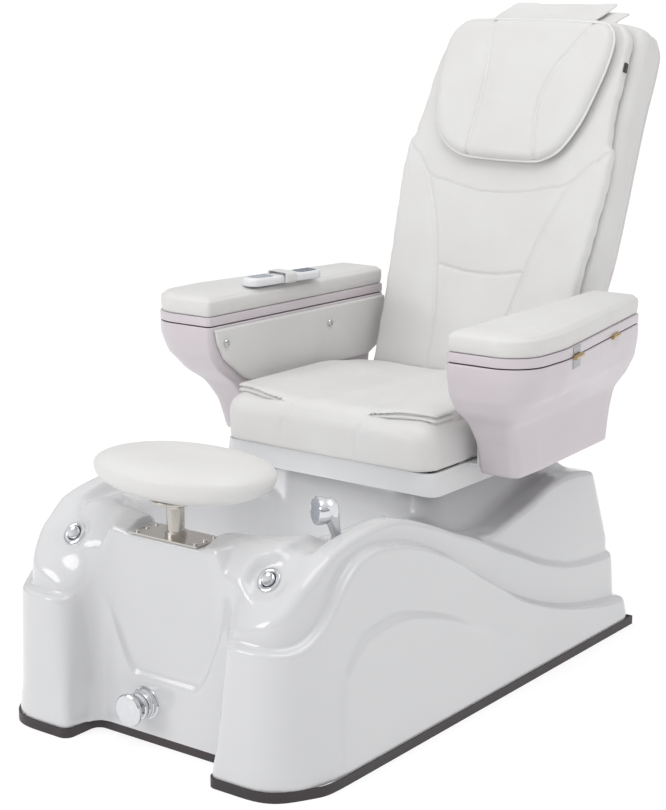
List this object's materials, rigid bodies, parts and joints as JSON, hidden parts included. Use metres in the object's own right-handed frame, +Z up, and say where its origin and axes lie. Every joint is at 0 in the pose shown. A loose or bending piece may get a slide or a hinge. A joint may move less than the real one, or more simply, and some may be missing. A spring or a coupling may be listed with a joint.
{
  "type": "pedicure spa chair",
  "caption": "Pedicure spa chair: wave-sided foot basin, sliding reclining massage seat, storage armrests with hinged padded lids, swivel footrest.",
  "frame": {"origin": "on the floor, under the middle of the chair's box", "axes": "+Z up, -Y towards the front (the sitter faces -Y), +X to the sitter's left"},
  "size_m": [1.0052, 1.5857, 1.429],
  "materials": {
    "acrylic": "gloss white acrylic",
    "trim": "matte black",
    "frame_steel": "satin black powder coat",
    "zinc_steel": "satin zinc plate",
    "black_plastic": "matte black",
    "chrome": "polished chrome",
    "stainless": "satin stainless",
    "brass": "polished brass",
    "pvc": "matte grey",
    "cream_vinyl": "satin cream",
    "upholstery": "satin white",
    "tray_plastic": "satin white",
    "shell_plastic": "satin white with a faint lilac cast",
    "plywood": "matte dark",
    "remote_plastic": "matte white",
    "remote_grey": "matte grey",
    "roller_rubber": "matte"
  },
  "bodies": {
    "base": {"tub_shell": "acrylic", "kick_trim": "trim", "base_frame": "frame_steel", "leveling_feet": "zinc_steel", "pedestal_plate": "frame_steel", "slide_rails": "zinc_steel", "slide_actuator": "zinc_steel", "drain_strainer": "stainless", "drain_pipe": "pvc", "water_inlets": "brass", "jet_pump": "black_plastic", "button_bezels": "chrome", "mixer_body": "chrome", "spray_socket": "chrome", "footrest_bracket": "stainless", "footrest_screws": "stainless"},
    "air_button_left": {"air_button_left": "chrome"},
    "air_button_right": {"air_button_right": "chrome"},
    "mixer_cap": {"mixer_cap": "chrome"},
    "mixer_lever": {"mixer_lever": "chrome"},
    "spray_head": {"spray_head": "chrome"},
    "footrest_post": {"footrest_post": "stainless"},
    "footrest_pad": {"footrest_plate": "stainless", "footrest_pad": "cream_vinyl"},
    "seat": {"seat_frame": "frame_steel", "slide_runners": "zinc_steel", "seat_tray": "tray_plastic", "seat_board": "plywood", "seat_cushion": "upholstery", "seat_cover": "upholstery", "armrest_shell_left": "shell_plastic", "armrest_shell_right": "shell_plastic", "armrest_panel_left": "upholstery", "armrest_panel_right": "upholstery", "armrest_bolts": "chrome", "armrest_bars": "frame_steel", "hinge_leaves": "chrome", "hinge_pins": "brass", "hinge_shaft": "zinc_steel"},
    "lid_left": {"lid_frame_left": "tray_plastic", "lid_pad_left": "upholstery", "lid_leaves_left": "chrome"},
    "lid_right": {"lid_frame_right": "tray_plastic", "lid_pad_right": "upholstery", "lid_leaves_right": "chrome", "remote_strap": "upholstery"},
    "remote": {"remote_shell": "remote_plastic", "remote_panels": "remote_grey"},
    "backrest": {"back_frame": "frame_steel", "back_shell": "shell_plastic", "back_cushion": "upholstery", "back_cover": "upholstery", "head_pillow": "upholstery", "massage_rods": "zinc_steel"},
    "massage_carriage": {"massage_carriage": "black_plastic"},
    "massage_rollers_upper": {"massage_rollers_upper": "roller_rubber"},
    "massage_rollers_lower": {"massage_rollers_lower": "roller_rubber"},
    "recline_cylinder": {"recline_cylinder": "black_plastic"},
    "recline_rod": {"recline_rod": "zinc_steel"}
  },
  "joints": [
    {"name": "seat_slide", "type": "slide", "parent": "base", "child": "seat", "axis": [0, -1, 0], "range_m": [-0.04, 0.08]},
    {"name": "back_recline", "type": "hinge", "parent": "seat", "child": "backrest", "pos_m": [0, 0.4, 0.54], "axis": [-1, 0, 0], "range_deg": [-6, 40]},
    {"name": "recline_cylinder_tilt", "type": "hinge", "parent": "seat", "child": "recline_cylinder", "pos_m": [0, 0.075, 0.458], "axis": [1, 0, 0], "range_deg": [-1, 4]},
    {"name": "recline_rod_travel", "type": "slide", "parent": "recline_cylinder", "child": "recline_rod", "axis": [0, 0.9999, 0.0124], "range_m": [-0.052, 0.01]},
    {"name": "lid_left_hinge", "type": "hinge", "parent": "seat", "child": "lid_left", "pos_m": [0.49358, 0.02704, 0.729], "axis": [-0.1883, 0.9821, 0], "range_deg": [0, 100]},
    {"name": "lid_right_hinge", "type": "hinge", "parent": "seat", "child": "lid_right", "pos_m": [-0.49358, 0.02704, 0.729], "axis": [-0.1883, -0.9821, 0], "range_deg": [0, 100]},
    {"name": "remote_slide", "type": "slide", "parent": "lid_right", "child": "remote", "axis": [-0.1564, -0.9877, 0], "range_m": [0, 0.12]},
    {"name": "footrest_lift", "type": "slide", "parent": "base", "child": "footrest_post", "axis": [0, 0, 1], "range_m": [-0.05, 0.08]},
    {"name": "footrest_swivel", "type": "hinge", "parent": "footrest_post", "child": "footrest_pad", "pos_m": [0, -0.655, 0.5], "axis": [0, 0, 1], "range_deg": [-90, 90]},
    {"name": "air_button_left_press", "type": "slide", "parent": "base", "child": "air_button_left", "axis": [0, 0.766, -0.6428], "range_m": [0, 0.003], "stiffness_N_per_m": 900, "springref_m": -0.002},
    {"name": "air_button_right_press", "type": "slide", "parent": "base", "child": "air_button_right", "axis": [0, 0.766, -0.6428], "range_m": [0, 0.003], "stiffness_N_per_m": 900, "springref_m": -0.002},
    {"name": "mixer_turn", "type": "hinge", "parent": "base", "child": "mixer_cap", "pos_m": [-0.05, -0.73, 0.082], "axis": [0, -1, 0], "range_deg": [-45, 45]},
    {"name": "mixer_lift", "type": "hinge", "parent": "mixer_cap", "child": "mixer_lever", "pos_m": [-0.05, -0.736, 0.082], "axis": [-1, 0, 0], "range_deg": [0, 20]},
    {"name": "spray_lift", "type": "slide", "parent": "base", "child": "spray_head", "axis": [0, -0.3499, 0.9368], "range_m": [0, 0.15]},
    {"name": "massage_travel", "type": "slide", "parent": "backrest", "child": "massage_carriage", "axis": [0, 0.3453, 0.9385], "range_m": [-0.36, 0.1]},
    {"name": "massage_rollers_upper_spin", "type": "hinge", "parent": "massage_carriage", "child": "massage_rollers_upper", "pos_m": [0, 0.5978, 1.10302], "axis": [1, 0, 0], "continuous": true},
    {"name": "massage_rollers_lower_spin", "type": "hinge", "parent": "massage_carriage", "child": "massage_rollers_lower", "pos_m": [0, 0.57156, 1.03169], "axis": [1, 0, 0], "continuous": true}
  ],
  "couplings": [
    {"joint": "recline_cylinder_tilt", "follows": "back_recline", "ratio": 0.0875},
    {"joint": "recline_rod_travel", "follows": "back_recline", "m_per_rad": -0.0698}
  ]
}
